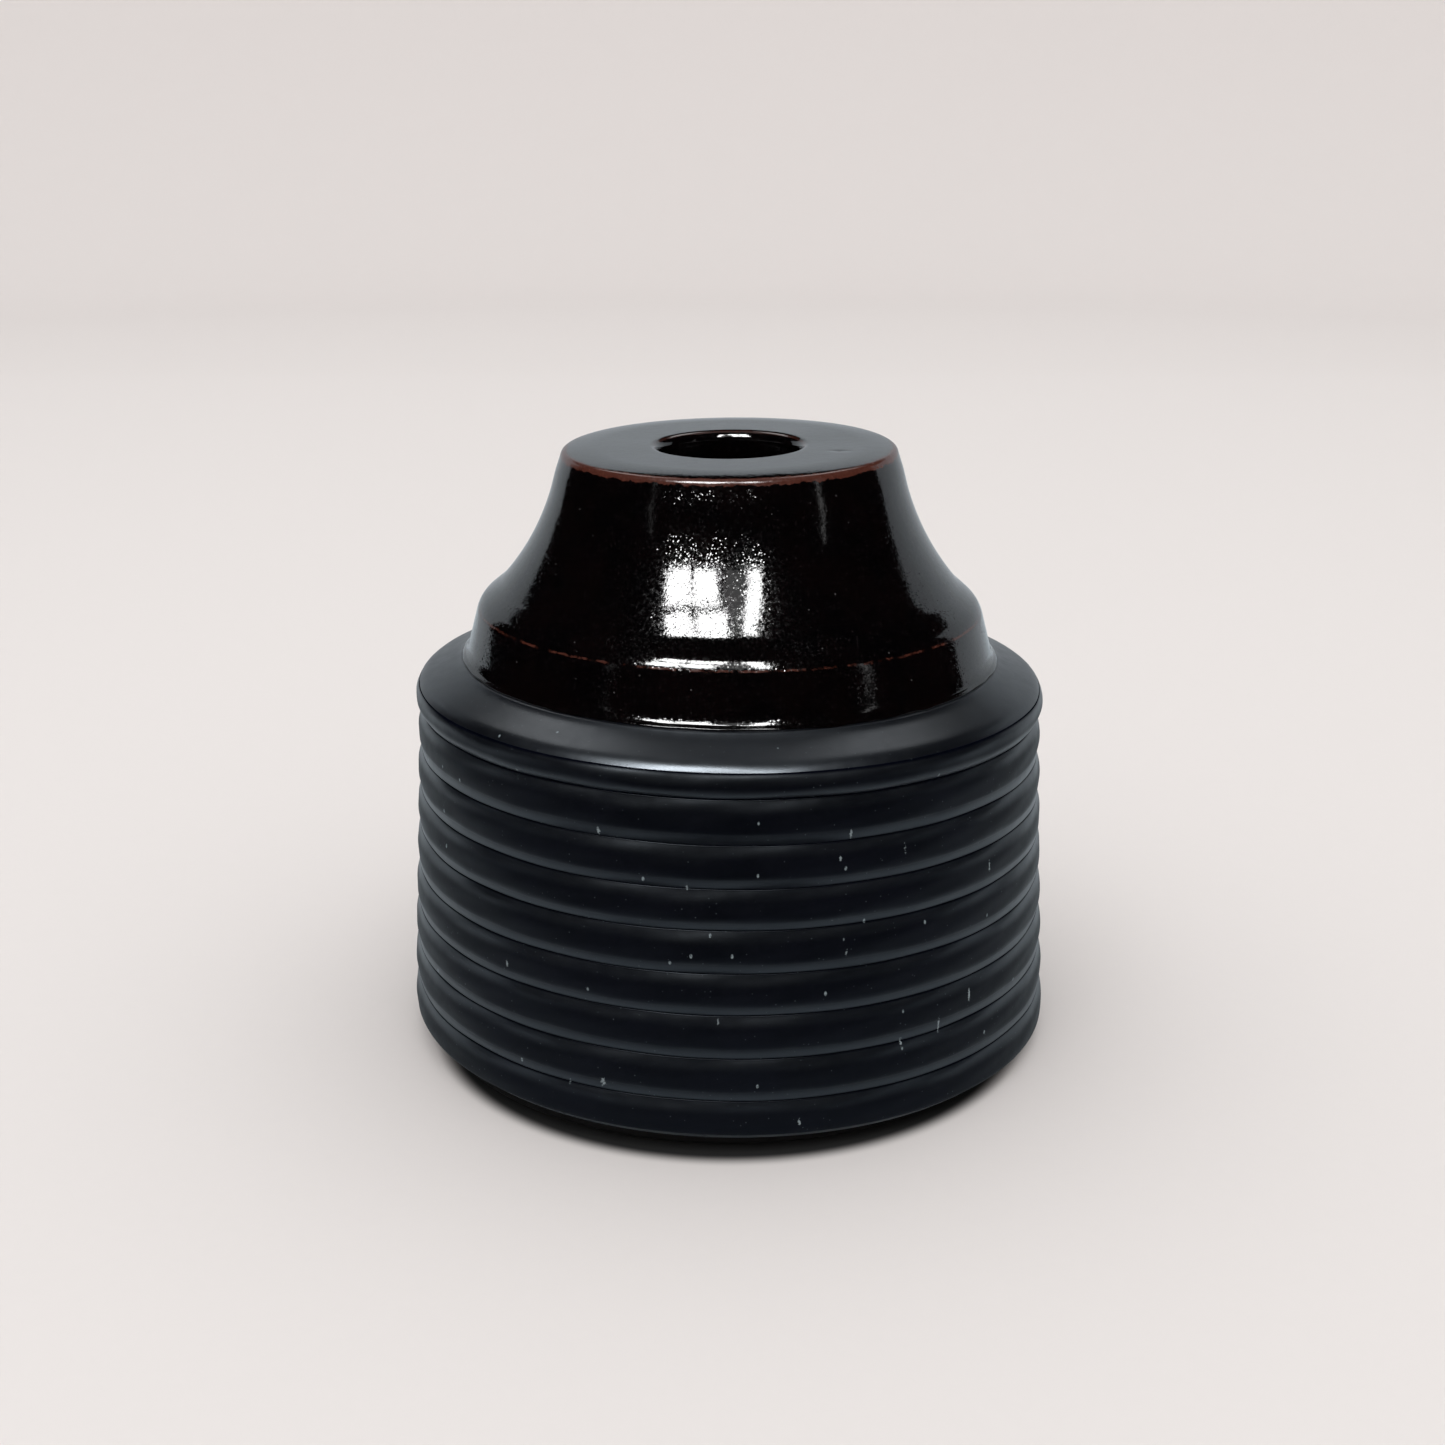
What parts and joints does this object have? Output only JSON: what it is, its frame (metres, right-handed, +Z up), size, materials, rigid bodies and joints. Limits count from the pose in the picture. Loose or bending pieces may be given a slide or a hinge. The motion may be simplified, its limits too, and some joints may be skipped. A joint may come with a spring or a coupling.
{
  "type": "vase",
  "caption": "Squat round stoneware vase: ribbed matt body under a rounded shoulder, a glossy flared bell on top, and a flat disc top with a small central mouth.",
  "frame": {"origin": "centre of the foot ring, on the surface the vase stands on", "axes": "+Z up along the vase's axis, out through the mouth; X and Y are level"},
  "size_m": [0.134, 0.134, 0.122],
  "materials": {
    "stoneware_clay": "unglazed, slightly rough",
    "matt_glaze": "satin matt, blue-black",
    "gloss_glaze": "glossy brown-black, rust where it breaks over edges",
    "liner_glaze": "glossy brown-black"
  },
  "bodies": {
    "root": {"foot_base": "stoneware_clay", "ribbed_wall": "stoneware_clay", "bell_section": "stoneware_clay", "top_disc": "stoneware_clay", "matt_glaze": "matt_glaze", "gloss_glaze": "gloss_glaze", "liner_glaze": "liner_glaze"}
  },
  "joints": []
}
